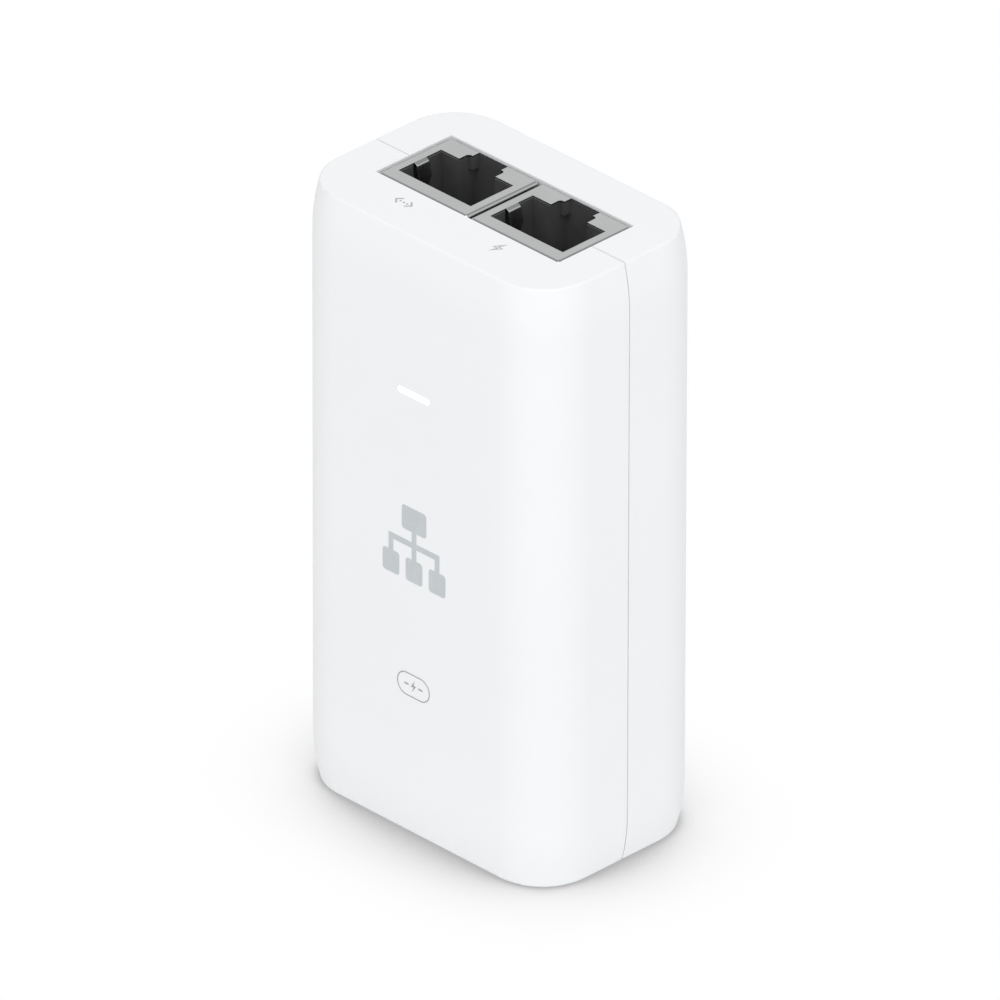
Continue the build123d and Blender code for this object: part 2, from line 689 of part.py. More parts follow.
def x_capacitor():
    """Boxed film capacitor across the mains."""
    x, z = X_CAPACITOR_AT
    half_x, half_z = X_CAPACITOR_HALF
    height = (BOARD_BACK + 0.1, X_CAPACITOR_TOP)
    box = block((x - half_x, x + half_x), height, (z - half_z, z + half_z))
    box = fillet(box.edges().filter_by(Axis.Y) + box.faces().sort_by(Axis.Y)[-1].edges(), 0.4)
    return box + leads(grid_places(X_CAPACITOR_AT, 2, 1, X_CAPACITOR_PITCH, 0), BOARD_BACK + 1)


def choke_core():
    """Ferrite ring lying flat over the board."""
    x, z = CHOKE_AT
    inner, outer = CHOKE_CORE
    core = peg(x, z, CHOKE_Y, outer) - peg(x, z, (CHOKE_Y[0] - 1, CHOKE_Y[1] + 1), inner)
    return fillet(core.edges(), 0.4)


def choke_winding():
    """Two separate coils of enamelled wire, one on each side of the ring."""
    x, z = CHOKE_AT
    inner, outer = CHOKE_CORE
    height = CHOKE_Y[1] - CHOKE_Y[0]
    middle = (inner + outer) / 2
    window = Rectangle(outer - inner + 0.04, height + 0.04)
    loop = offset(window, CHOKE_WIRE, kind=Kind.ARC) - window
    turn = Pos(middle, 0, 0) * extrude(Plane.XZ * loop, amount=CHOKE_WIRE / 2, both=True)
    turns = []
    for coil in (0, 180):
        for step in range(-4, 5):
            placed = Rot(0, 0, coil + step * 14.5) * turn
            turns.append(Pos(x, sum(CHOKE_Y) / 2, z) * Rot(90, 0, 0) * placed)
    return Compound(children=turns)


def choke_base():
    """Moulded base that carries the ring and its four pins."""
    x, z = CHOKE_AT
    plate = block((x - 5, x + 5), (BOARD_BACK + 0.05, BOARD_BACK + 0.75), (z - 5, z + 5))
    return rounded(plate, Axis.Y, 1) + leads(
        grid_places(CHOKE_AT, 2, 2, CHOKE_PITCH, CHOKE_PITCH), BOARD_BACK + 0.5
    )


def bridge_rectifier():
    """Moulded bridge with four pins and a corner cut to mark its way round."""
    x, z = RECTIFIER_AT
    half_x, half_z = RECTIFIER_HALF
    height = (BOARD_BACK + 0.5, BOARD_BACK + 0.5 + RECTIFIER_THICKNESS)
    case = block((x - half_x, x + half_x), height, (z - half_z, z + half_z))
    mark = case.edges().filter_by(Axis.Y).sort_by(Axis.Z)[-1]
    case = chamfer(mark, 1.2)
    return case + leads(grid_places(RECTIFIER_AT, 2, 2, *RECTIFIER_PITCH), BOARD_BACK + 0.9)


def can_capacitor(radius, height):
    """Sleeved can standing on z = 0, with a crimped neck and a scored top."""
    can = Pos(0, 0, height / 2) * Cylinder(radius, height)
    can = fillet(can.edges(), 0.4)
    crimp = Pos(0, 0, 1.6) * Torus(radius + 0.25, 0.55)
    can -= crimp
    for turn in (0, 90):
        can -= Pos(0, 0, height) * Rot(0, 0, turn) * Box(radius * 1.3, 0.25, 0.4)
    return can


def bulk_capacitor():
    """Reservoir capacitor lying on its side along the board, its leads bent down."""
    x, z = BULK_AT
    middle = BOARD_BACK + 0.3 + BULK_CAN[0]
    can = Pos(x, middle, z) * can_capacitor(*BULK_CAN)
    bend_z = z - BULK_LEAD_DROP
    for place in grid_places(BULK_AT, 2, 1, BULK_PITCH, 0):
        low = BOARD_FRONT - LEAD_STUB
        route = [(place[0], middle, z + 0.5), (place[0], middle, bend_z), (place[0], low, bend_z)]
        can += wire(route, [0.8], LEAD_RADIUS)
    return can


def output_capacitors():
    """Two small cans standing on the board."""
    cans = []
    for place in OUTPUT_CAPACITORS_AT:
        x, z = place
        can = Pos(x, BOARD_BACK + 0.1, z) * Rot(-90, 0, 0) * can_capacitor(*OUTPUT_CAN)
        cans.append(can + leads(grid_places(place, 2, 1, OUTPUT_PITCH, 0), BOARD_BACK + 0.6))
    return Compound(children=cans)


def heatsink():
    """Aluminium plate standing on the board, with a foot at each end and a tapped hole."""
    left, right = HEATSINK_X
    low = BOARD_BACK + 0.05
    plate = block(HEATSINK_X, (low, HEATSINK_TOP), HEATSINK_Z)
    for x in ((left, left + 2), (right - 2, right)):
        plate += block(x, (low, low + 0.8), (HEATSINK_Z[0] - 1, HEATSINK_Z[1]))
    return plate - upright(TRANSISTOR_AT[0], SCREW_Y, (30, 50), 1.5)


def thermal_pad():
    """Insulating pad between the transistor and the heatsink."""
    x = TRANSISTOR_AT[0]
    half = TRANSISTOR_HALF + 0.6
    pad = block((x - half, x + half), (-4.2, HEATSINK_TOP), (HEATSINK_Z[1], TRANSISTOR_BACK))
    return pad - upright(x, SCREW_Y, (30, 50), 1.5)


def switching_transistor():
    """Power transistor: moulded body, mounting tab with a hole, and three leads."""
    x = TRANSISTOR_AT[0]
    width = (x - TRANSISTOR_HALF, x + TRANSISTOR_HALF)
    body = block(width, (-3.6, 5.4), (TRANSISTOR_BACK, TRANSISTOR_BACK + 4.4))
    body = chamfer(body.faces().sort_by(Axis.Z)[-1].edges(), 0.4)
    tab = block(width, (5.4, 11.6), (TRANSISTOR_BACK, TRANSISTOR_BACK + TAB_THICKNESS))
    tab -= upright(x, SCREW_Y, (30, 50), 1.8)
    return body + tab + leads(transistor_lead_places(), -3.0)


def heatsink_screw():
    """Pan-head screw through the tab into the heatsink."""
    x = TRANSISTOR_AT[0]
    seat = TRANSISTOR_BACK + TAB_THICKNESS
    head = upright(x, SCREW_Y, (seat, seat + 2.0), 2.6)
    head = fillet(head.faces().sort_by(Axis.Z)[-1].edges(), 0.8)
    for turn in (0, 90):
        head -= Pos(x, SCREW_Y, seat + 2.0) * Rot(0, 0, turn) * Box(2.8, 0.6, 1.6)
    return head + upright(x, SCREW_Y, (HEATSINK_Z[0] - 1.4, seat), 1.45)


def centred(half_x, half_y, half_z):
    """Block about the transformer's middle."""
    x, z = TRANSFORMER_AT
    return Pos(x, TRANSFORMER_Y, z) * Box(2 * half_x, 2 * half_y, 2 * half_z)


def transformer_core():
    """Two E-shaped ferrite halves that meet in the middle of the legs."""
    half_x, half_z = CORE_HALF
    outer_leg, centre_leg = CORE_LEGS
    thick = CORE_THICKNESS / 2
    window = half_x - outer_leg - centre_leg / 2
    halves = []
    for side in (-1, 1):
        half = Pos(0, 0, side * half_z / 2) * centred(half_x, thick, half_z / 2 - 0.01)
        for hand in (-1, 1):
            gap = Pos(hand * (centre_leg / 2 + window / 2), 0, 0)
            half -= gap * centred(window / 2, thick + 1, half_z - CORE_BACK)
        halves.append(half)
    return Compound(children=halves)


def transformer_bobbin():
    """Moulded spool on the centre leg, with end flanges and a rail of pins at each end."""
    inner_x = CORE_LEGS[1] / 2 + 0.05
    inner_y = CORE_THICKNESS / 2 + 0.05
    half_z = CORE_HALF[1] - CORE_BACK - 0.1
    spool = centred(SPOOL_HALF, SPOOL_HALF, half_z)
    flange = centred(WINDING_HALF[0], WINDING_HALF[1] + 0.3, 0.4)
    foot_y = (BOARD_BACK + 0.1, TRANSFORMER_Y - CORE_THICKNESS / 2 - 0.1)
    x, z = TRANSFORMER_AT
    for side in (-1, 1):
        spool += Pos(0, 0, side * (half_z - 0.4)) * flange
        rail_z = sorted((z + side * (half_z - 0.8), z + side * (TRANSFORMER_PITCH[1] / 2 + 1.0)))
        spool += block((x - 7.5, x + 7.5), foot_y, rail_z)
    spool -= centred(inner_x, inner_y, half_z + 5)
    return spool + leads(grid_places(TRANSFORMER_AT, 4, 2, *TRANSFORMER_PITCH), BOARD_BACK + 1)


def winding_layer(inner, outer):
    """Hollow rounded layer wound on the spool between its flanges."""
    half_z = CORE_HALF[1] - CORE_BACK - 1.0
    layer = rounded(centred(*outer, half_z), Axis.Z, 1.2)
    return layer - centred(*inner, half_z + 1)


def transformer_winding():
    """Copper winding on the spool."""
    return winding_layer((SPOOL_HALF, SPOOL_HALF), (WINDING_HALF[0] - 0.4, WINDING_HALF[1] - 0.4))


def transformer_tape():
    """Insulating tape wrapped round the winding."""
    inner = (WINDING_HALF[0] - 0.4, WINDING_HALF[1] - 0.4)
    half_z = CORE_HALF[1] - CORE_BACK - 1.0
    tape = rounded(centred(*WINDING_HALF, half_z), Axis.Z, 1.6)
    return tape - rounded(centred(*inner, half_z + 1), Axis.Z, 1.2)


# Surface-mounted parts on the front of the board


def chip(at, size, height, pins, pitch):
    """Moulded chip with gull-wing legs along two sides."""
    x, z = at
    width, length = size
    top = BOARD_FRONT - height
    body = block((x - width / 2, x + width / 2), (top, BOARD_FRONT - 0.1), (z - length / 2, z + length / 2))
    body = chamfer(body.faces().sort_by(Axis.Y)[0].edges(), 0.2)
    dot = peg(x - width / 2 + 0.8, z + length / 2 - 0.8, (top - 1, top + 0.15), 0.3)
    legs = []
    for side in (-1, 1):
        for index in range(pins):
            leg_z = z + (index - (pins - 1) / 2) * pitch
            reach = sorted((x + side * (width / 2 - 0.1), x + side * (width / 2 + 0.4)))
            foot = sorted((x + side * (width / 2 + 0.2), x + side * (width / 2 + 0.9)))
            legs.append(block(reach, (BOARD_FRONT - 0.8, BOARD_FRONT - 0.6), (leg_z - 0.2, leg_z + 0.2)))
            drop = sorted((x + side * (width / 2 + 0.2), x + side * (width / 2 + 0.4)))
            legs.append(block(drop, (BOARD_FRONT - 0.8, BOARD_FRONT), (leg_z - 0.2, leg_z + 0.2)))
            legs.append(block(foot, (BOARD_FRONT - 0.2, BOARD_FRONT), (leg_z - 0.2, leg_z + 0.2)))
    return body - dot + legs


def output_inductor():
    """Shielded power inductor: a square ferrite case with a round cap."""
    x, z = INDUCTOR_AT
    base = block((x - 3.4, x + 3.4), (BOARD_FRONT - 3.6, BOARD_FRONT), (z - 3.4, z + 3.4))
    base = rounded(base, Axis.Y, 1.2)
    return base + peg(x, z, (BOARD_FRONT - 4.0, BOARD_FRONT - 3.0), 2.7)


def output_diode():
    """Rectifier diode with a flat tab and two feet."""
    x, z = DIODE_AT
    body = block((x - 3.2, x + 3.2), (BOARD_FRONT - 2.3, BOARD_FRONT), (z - 3.0, z + 3.0))
    body = chamfer(body.faces().sort_by(Axis.Y)[0].edges(), 0.3)
    body += block((x - 2.6, x + 2.6), (BOARD_FRONT - 0.5, BOARD_FRONT), (z + 3.0, z + 4.2))
    for side in (-1, 1):
        foot = x + side * 2.28
        body += block((foot - 0.4, foot + 0.4), (BOARD_FRONT - 0.5, BOARD_FRONT), (z - 4.8, z - 3.0))
    return body


def surface_parts(rows, height):
    """Rows of small two-ended parts."""
    length, width = SURFACE_PART
    parts = []
    for x, z, count in rows:
        for index in range(count):
            low = z + index * (width + SURFACE_PART_GAP)
            parts.append(block((x, x + length), (BOARD_FRONT - height, BOARD_FRONT), (low, low + width)))
    return Compound(children=parts)


def insulation_sheet():
    """Plastic film on the inside of the front cover, over the mains side of the board."""
    sheet = block((-14.6, 14.6), (-CAVITY_Y, -CAVITY_Y + 0.25), (24, 62))
    return rounded(sheet, Axis.Y, 2)


def jack_nodes():
    """The five pieces of each jack, placed."""
    pieces = {
        "jack_shield": jack_shield(),
        "jack_housing": jack_housing(),
        "contact_carrier": contact_carrier(),
        "contact_leads": contact_leads(),
        "contact_springs": contact_springs(),
    }
    nodes = {}
    for port, x in (("data", -JACK_CENTRE), ("poe", JACK_CENTRE)):
        for name, piece in pieces.items():
            nodes[port + "_" + name] = Pos(x, 0, 0) * piece
    return nodes


def inlet_nodes():
    """The mains inlet, its pins and their wires."""
    nodes = {"inlet_housing": inlet_housing()}
    for name, place in pin_places().items():
        nodes["inlet_" + name + "_pin"] = inlet_pin(*place)
        nodes[name + "_wire"] = mains_wire(*place)
    return nodes


def board_nodes():
    """The board and everything on it."""
    return {
        "main_board": main_board(),
        "status_led": status_led(),
        "fuse": fuse(),
        "varistor": disc_part(VARISTOR_AT, VARISTOR_PITCH, *VARISTOR_DISC),
        "x_capacitor": x_capacitor(),
        "choke_core": choke_core(),
        "choke_winding": choke_winding(),
        "choke_base": choke_base(),
        "bridge_rectifier": bridge_rectifier(),
        "bulk_capacitor": bulk_capacitor(),
        "y_capacitor": disc_part(Y_CAPACITOR_AT, Y_CAPACITOR_PITCH, *Y_CAPACITOR_DISC),
        "output_capacitors": output_capacitors(),
        "heatsink": heatsink(),
        "thermal_pad": thermal_pad(),
        "switching_transistor": switching_transistor(),
        "heatsink_screw": heatsink_screw(),
        "transformer_core": transformer_core(),
        "transformer_bobbin": transformer_bobbin(),
        "transformer_winding": transformer_winding(),
        "transformer_tape": transformer_tape(),
        "optocoupler": chip(OPTOCOUPLER_AT, (6.4, 4.6), 3.4, 2, 2.54),
        "power_controller": chip(POWER_CONTROLLER_AT, (4.0, 5.0), 1.6, 4, 1.27),
        "poe_controller": chip(POE_CONTROLLER_AT, (4.0, 6.2), 1.6, 5, 1.0),
        "network_transformer": chip(NETWORK_TRANSFORMER_AT, (13.0, 6.4), 4.0, 5, 1.2),
        "output_inductor": output_inductor(),
        "output_diode": output_diode(),
        "surface_resistors": surface_parts(RESISTOR_ROWS, 0.5),
        "surface_capacitors": surface_parts(CAPACITOR_ROWS, 1.2),
    }


def main():
    """Build every piece and write it to its own file."""
    shell = case_outside() - case_cavity() - seam_groove()
    nodes = {
        "front_cover": front_cover(shell),
        "rear_cover": rear_cover(shell),
        "led_light_pipe": led_light_pipe(),
        "rating_label": rating_label(),
        "insulation_sheet": insulation_sheet(),
    }
    nodes.update(jack_nodes())
    nodes.update(inlet_nodes())
    nodes.update(board_nodes())
    os.makedirs("parts", exist_ok=True)
    for name, piece in nodes.items():
        export_step(piece, "parts/" + name + ".step")


main()
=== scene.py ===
import json
import math

import bmesh
import bpy
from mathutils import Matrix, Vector


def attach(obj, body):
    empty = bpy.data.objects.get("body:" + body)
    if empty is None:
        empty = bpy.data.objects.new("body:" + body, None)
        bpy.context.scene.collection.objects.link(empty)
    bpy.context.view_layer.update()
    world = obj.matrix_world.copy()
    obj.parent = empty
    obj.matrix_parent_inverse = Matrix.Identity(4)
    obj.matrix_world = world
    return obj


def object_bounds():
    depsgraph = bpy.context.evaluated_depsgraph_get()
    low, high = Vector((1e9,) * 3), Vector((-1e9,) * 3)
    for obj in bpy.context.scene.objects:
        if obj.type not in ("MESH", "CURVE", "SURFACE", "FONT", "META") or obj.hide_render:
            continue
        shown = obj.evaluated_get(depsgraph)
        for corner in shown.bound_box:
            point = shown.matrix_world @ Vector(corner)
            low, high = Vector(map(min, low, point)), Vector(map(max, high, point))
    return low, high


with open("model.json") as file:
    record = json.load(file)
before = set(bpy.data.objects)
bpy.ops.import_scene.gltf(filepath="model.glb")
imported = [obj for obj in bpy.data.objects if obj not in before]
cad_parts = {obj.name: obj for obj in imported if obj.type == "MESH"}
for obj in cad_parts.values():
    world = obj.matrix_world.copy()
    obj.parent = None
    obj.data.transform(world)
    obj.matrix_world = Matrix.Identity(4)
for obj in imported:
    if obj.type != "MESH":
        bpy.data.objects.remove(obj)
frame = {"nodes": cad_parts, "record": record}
CAD_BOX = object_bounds()

MM = 0.001
NODES = frame["nodes"]
CASE_LOW, CASE_HIGH = CAD_BOX
FRONT_Y = CASE_LOW.y
TOP_Z = CASE_HIGH.z

# Camera: a long lens, at the photograph's angle
CAMERA_AZIMUTH = 45.30
CAMERA_ELEVATION = 29.99
CAMERA_ROLL = 0.117
CAMERA_DISTANCE = 3.7567
CAMERA_LENS = 1068.9
CAMERA_SENSOR = 36.0
CAMERA_SHIFT = (0.0008, -0.0002)

# Printed marks: thin slabs in millimetres, each about its own middle
PRINT_LIFT = 0.02
PRINT_SINK = 0.02

# Emblem: a box on a stem, joined by a crossbar to three boxes below it
EMBLEM_AT = (0.1, 42.9)
EMBLEM_REACH = 4.15
EMBLEM_BAR = 0.425
EMBLEM_TOP = 1.9
EMBLEM_FOOT = -2.1
EMBLEM_HEAD = (4.4, 3.5)
EMBLEM_BOX = (3.0, 3.3)
EMBLEM_CORNER = 0.5

# Badge: a bolt between two dashes in an outlined pill; a dash is its width, height and corner
BADGE_AT = (0.0, 22.33)
BADGE_SIZE = (5.9, 3.4)
BADGE_LINE = 0.16
BADGE_BOLT = 1.75
BADGE_DASH = (0.8, 0.24, 0.1)
BADGE_DASH_AT = 1.25
FLAT_END = 0.01

# Port icons: two arrowheads with three dots between them, and an outlined bolt
DATA_ICON_AT = (-8.07, -8.99)
ARROW_TIP = 1.55
ARROW_ARM = 0.78
ARROW_LINE = 0.24
DOT_SIZE = (0.3, 0.3, 0.14)
DOT_PITCH = 0.6
BOLT_ICON_AT = (8.45, -8.66)
BOLT_ICON_SIZE = 2.75
BOLT_ICON_LINE = 0.14
BOLT_HALF = ((0.14, 0.5), (-0.268, -0.075), (-0.008, -0.085))

EMBLEM_INK = (0.53, 0.56, 0.58)
BADGE_INK = (0.36, 0.37, 0.38)
ICON_INK = (0.41, 0.42, 0.43)

# Floor: a hidden white one gives bounce light, and the seen one just above it glows evenly
# apart from a contact shadow: how bright it is where its surroundings are hidden by this much
FLOOR_SIZE = 6.0
FLOOR_LIFT = 0.00002
CONTACT_SHADOW_REACH = 0.02
CONTACT_SHADOW = ((0.48, 0.47), (0.54, 0.65), (0.61, 0.80), (0.72, 0.92), (0.87, 0.985), (0.97, 1.0))

# Surroundings: how bright they are, by the sine of the elevation: white walls, greyer above
STUDIO = ((0.0, 0.30), (0.42, 1.0), (0.64, 1.0), (0.76, 0.48))
WORLD_STRENGTH = 0.97

# Softbox: the angle that it stands at, how far off it is, its side in metres, and its watts
SOFTBOX_AZIMUTH = 46
SOFTBOX_ELEVATION = 58
SOFTBOX_DISTANCE = 1.5
SOFTBOX_SIZE = 1.53
SOFTBOX_POWER = 13.8

# Rounding of a metal piece's sheared edges, in metres
SHEARED_EDGE = 6e-5
BEVEL_SAMPLES = 6


# Node materials


def new_tree(name):
    """Empty node material with an output and a principled shader."""
    material = bpy.data.materials.new(name)
    material.use_nodes = True
    tree = material.node_tree
    tree.nodes.clear()
    output = tree.nodes.new("ShaderNodeOutputMaterial")
    shader = tree.nodes.new("ShaderNodeBsdfPrincipled")
    tree.links.new(shader.outputs["BSDF"], output.inputs["Surface"])
    return material, tree, shader


def noise(tree, scale, detail=2.0, stretch=(1, 1, 1)):
    """Noise in the object's own metres; scale is in bumps per metre."""
    place = tree.nodes.new("ShaderNodeTexCoord")
    mapping = tree.nodes.new("ShaderNodeMapping")
    mapping.inputs["Scale"].default_value = stretch
    texture = tree.nodes.new("ShaderNodeTexNoise")
    texture.inputs["Scale"].default_value = scale
    texture.inputs["Detail"].default_value = detail
    tree.links.new(place.outputs["Object"], mapping.inputs["Vector"])
    tree.links.new(mapping.outputs["Vector"], texture.inputs["Vector"])
    return texture.outputs["Fac"]


def ramp(tree, fac, low, high, start=0.3, end=0.7):
    """Colour that goes from low to high over part of a factor."""
    node = tree.nodes.new("ShaderNodeValToRGB")
    stops = node.color_ramp.elements
    stops[0].position = start
    stops[0].color = (*low, 1)
    stops[1].position = end
    stops[1].color = (*high, 1)
    tree.links.new(fac, node.inputs["Fac"])
    return node.outputs["Color"]


def set_stops(node, greys):
    """Gives a colour ramp its grey levels."""
    stops = node.color_ramp.elements
    for _ in range(len(greys) - len(stops)):
        stops.new(1.0)
    for stop, (position, value) in zip(stops, greys):
        stop.position = position
        stop.color = (value, value, value, 1)


def spread(tree, fac, low, high):
    """Number that goes from low to high with a factor."""
    node = tree.nodes.new("ShaderNodeMapRange")
    node.inputs["From Min"].default_value = 0.3
    node.inputs["From Max"].default_value = 0.7
    node.inputs["To Min"].default_value = low
    node.inputs["To Max"].default_value = high
    tree.links.new(fac, node.inputs["Value"])
    return node.outputs["Result"]


def relief(tree, shader, fac, depth):
    """Bump of a depth in metres, on top of any bump already there."""
    node = tree.nodes.new("ShaderNodeBump")
    node.inputs["Strength"].default_value = 1.0
    node.inputs["Distance"].default_value = depth
    tree.links.new(fac, node.inputs["Height"])
    if shader.inputs["Normal"].is_linked:
        tree.links.new(shader.inputs["Normal"].links[0].from_socket, node.inputs["Normal"])
    tree.links.new(node.outputs["Normal"], shader.inputs["Normal"])


def soften_edges(tree, shader, radius):
    """Small rounding on sheared edges; it comes before any bump."""
    node = tree.nodes.new("ShaderNodeBevel")
    node.samples = BEVEL_SAMPLES
    node.inputs["Radius"].default_value = radius
    tree.links.new(node.outputs["Normal"], shader.inputs["Normal"])


def shade(colour, factor):
    """The colour made lighter or darker."""
    return tuple(min(1.0, value * factor) for value in colour)


def moulded(name, colour, roughness, variation=0.03, grain=4000, depth=2e-6, patch=120, specular=0.5):
    """Moulded plastic: faint cloudy colour, uneven gloss and a fine spark-eroded grain."""
    material, tree, shader = new_tree(name)
    cloud = noise(tree, patch, 3)
    colours = ramp(tree, cloud, shade(colour, 1 - variation), shade(colour, 1 + variation))
    tree.links.new(colours, shader.inputs["Base Color"])
    fine = noise(tree, grain, 2)
    tree.links.new(spread(tree, cloud, roughness - 0.04, roughness + 0.04), shader.inputs["Roughness"])
    relief(tree, shader, fine, depth)
    shader.inputs["Specular IOR Level"].default_value = specular
    return material


def sheet_metal(name, colour, roughness, stretch=(1, 1, 1), grain=2500, depth=1.5e-6, variation=0.06):
    """Metal with a drawn or rolled grain, small changes of gloss and softly broken edges."""
    material, tree, shader = new_tree(name)
    shader.inputs["Metallic"].default_value = 1.0
    soften_edges(tree, shader, SHEARED_EDGE)
    streak = noise(tree, grain, 3, stretch)
    cloud = noise(tree, 260, 3)
    colours = ramp(tree, cloud, shade(colour, 1 - variation), shade(colour, 1 + variation))
    tree.links.new(colours, shader.inputs["Base Color"])
    tree.links.new(spread(tree, streak, roughness * 0.9, roughness * 1.1), shader.inputs["Roughness"])
    relief(tree, shader, streak, depth)
    return material


def case_plastic():
    """Satin white case moulding: very even, with a fine grain that softens its gloss."""
    return moulded(
        "case_white", (0.838, 0.852, 0.862), 0.42,
        variation=0.006, grain=5200, depth=1.2e-6, patch=45, specular=0.4,
    )


def window_plastic():
    """Milky clear window, a little lit from behind."""
    material, tree, shader = new_tree("window_milky")
    cloud = noise(tree, 900, 2)
    colours = ramp(tree, cloud, (0.93, 0.95, 0.97), (0.99, 1.0, 1.0))
    tree.links.new(colours, shader.inputs["Base Color"])
    tree.links.new(spread(tree, cloud, 0.18, 0.26), shader.inputs["Roughness"])
    tree.links.new(colours, shader.inputs["Emission Color"])
    shader.inputs["Emission Strength"].default_value = 0.2
    return material


def print_ink(name, colour):
    """Pad-printed ink: slightly uneven cover and a rougher skin than the case."""
    return moulded(name, colour, 0.55, grain=6000, depth=1.0e-6, patch=900, specular=0.3)


def board_laminate():
    """Green solder mask over a faint glass weave."""
    material, tree, shader = new_tree("board_green")
    place = tree.nodes.new("ShaderNodeTexCoord")
    weave = tree.nodes.new("ShaderNodeTexChecker")
    weave.inputs["Scale"].default_value = 2400
    tree.links.new(place.outputs["Object"], weave.inputs["Vector"])
    cloud = noise(tree, 300, 4)
    colours = ramp(tree, cloud, (0.012, 0.10, 0.045), (0.02, 0.17, 0.075))
    tree.links.new(colours, shader.inputs["Base Color"])
    tree.links.new(spread(tree, cloud, 0.28, 0.42), shader.inputs["Roughness"])
    relief(tree, shader, weave.outputs["Fac"], 6e-6)
    return material


def wound(name, colour, pitch, roughness=0.3):
    """Enamelled wire or tape: bands across the winding, with painted shade that darkens the grooves between
    turns, and a gloss between them.
    """
    material, tree, shader = new_tree(name)
    place = tree.nodes.new("ShaderNodeTexCoord")
    wave = tree.nodes.new("ShaderNodeTexWave")
    wave.bands_direction = "Z"
    wave.inputs["Scale"].default_value = math.pi / (10 * pitch)
    wave.inputs["Distortion"].default_value = 0.4
    tree.links.new(place.outputs["Object"], wave.inputs["Vector"])
    # painted shade: the colour falls to 0.6 of itself in the grooves between turns, where the bump is low
    colours = ramp(tree, wave.outputs["Fac"], shade(colour, 0.6), colour, 0.1, 0.8)
    tree.links.new(colours, shader.inputs["Base Color"])
    tree.links.new(spread(tree, wave.outputs["Fac"], roughness + 0.1, roughness), shader.inputs["Roughness"])
    relief(tree, shader, wave.outputs["Fac"], 3e-5)
    return material


def sintered(name, colour, roughness):
    """Ferrite or ceramic: gritty, with small pale and dark flecks."""
    material, tree, shader = new_tree(name)
    grit = noise(tree, 3000, 5)
    colours = ramp(tree, grit, shade(colour, 0.7), shade(colour, 1.5), 0.35, 0.75)
    tree.links.new(colours, shader.inputs["Base Color"])
    tree.links.new(spread(tree, grit, roughness - 0.1, roughness + 0.1), shader.inputs["Roughness"])
    relief(tree, shader, grit, 8e-6)
    return material


def material_library():
    """One material for each of the record's slots."""
    long_x = (1, 0.08, 0.08)
    long_z = (1, 1, 0.06)
    return {
        "case_plastic": case_plastic(),
        "light_window": window_plastic(),
        "label_film": moulded(
            "label_silver", (0.62, 0.63, 0.64), 0.38, variation=0.02, grain=5000, depth=1e-6, patch=200,
        ),
        "shield_metal": sheet_metal(
            "shield_nickel", (0.49, 0.502, 0.497), 0.17, long_x, grain=900, depth=1e-7, variation=0.03,
        ),
        "jack_plastic": moulded(
            "jack_charcoal", (0.070, 0.071, 0.073), 0.32, variation=0.12, grain=2600, depth=4e-6, patch=300,
        ),
        "contact_gold": sheet_metal("contact_gold", (0.90, 0.68, 0.30), 0.30, long_z, grain=4000),
        "inlet_plastic": moulded(
            "inlet_black", (0.022, 0.022, 0.024), 0.42, variation=0.10, grain=2200, depth=6e-6, patch=300,
        ),
        "pin_metal": sheet_metal("pin_nickel", (0.66, 0.64, 0.60), 0.24, long_z),
        "wire_brown": moulded("wire_brown", (0.13, 0.05, 0.025), 0.45),
        "wire_blue": moulded("wire_blue", (0.02, 0.09, 0.32), 0.45),
        "wire_green": moulded("wire_green", (0.10, 0.30, 0.05), 0.45),
        "board_laminate": board_laminate(),
        "led_package": moulded("led_package", (0.85, 0.84, 0.72), 0.25, 0.03),
        "fuse_plastic": moulded("fuse_brown", (0.06, 0.035, 0.028), 0.4, 0.08),
        "varistor_coat": moulded("varistor_blue", (0.03, 0.09, 0.30), 0.28, 0.10, 900, 2e-5),
        "film_box": moulded("film_box_yellow", (0.68, 0.42, 0.04), 0.38, 0.05),
        "ferrite": sintered("ferrite_grey", (0.035, 0.035, 0.038), 0.55),
        "copper": wound("copper_enamel", (0.55, 0.19, 0.06), 0.0005),
        "moulding_black": moulded("moulding_black", (0.02, 0.02, 0.02), 0.45, 0.1),
        "moulding_cream": moulded("moulding_cream", (0.62, 0.55, 0.38), 0.45, 0.05),
        "can_sleeve": moulded("can_sleeve", (0.015, 0.02, 0.05), 0.24, 0.15, 500, 1e-5),
        "capacitor_coat": moulded("capacitor_blue", (0.05, 0.19, 0.45), 0.3, 0.08, 900, 2e-5),
        "aluminium_plate": sheet_metal("aluminium_rolled", (0.72, 0.73, 0.74), 0.32, (0.05, 1, 1)),
        "pad_silicone": moulded("pad_silicone", (0.36, 0.40, 0.46), 0.6, 0.06),
        "chip_epoxy": moulded("chip_epoxy", (0.02, 0.02, 0.021), 0.5, 0.12, 1800, 6e-6),
        "screw_steel": sheet_metal("screw_zinc", (0.58, 0.58, 0.56), 0.28),
        "tape": wound("tape_yellow", (0.72, 0.52, 0.05), 0.004, 0.25),
        "film_clear": moulded("film_milky", (0.60, 0.63, 0.60), 0.2, 0.04),
        "ceramic_chip": sintered("ceramic_tan", (0.30, 0.20, 0.12), 0.4),
        "resistor_chip": sintered("resistor_black", (0.03, 0.03, 0.035), 0.35),
    }


def dress_nodes(materials):
    """Gives every CAD node the material of its slot."""
    for row in frame["record"]["subparts"]:
        mesh = NODES[row["node"]].data
        mesh.materials.clear()
        mesh.materials.append(materials[row["material_slot"]])
        for polygon in mesh.polygons:
            polygon.material_index = 0


# Printed marks


def on_front(at):
    """Places a flat drawing on the front: across is +X and up is +Z."""
    def place(across, up, lift):
        return Vector(((at[0] + across) * MM, FRONT_Y - lift * MM, (at[1] + up) * MM))
    return place


def on_top(at):
    """Places a flat drawing on the top end: across is +X and up is +Y."""
    def place(across, up, lift):
        return Vector(((at[0] + across) * MM, (at[1] + up) * MM, TOP_Z + lift * MM))
    return place


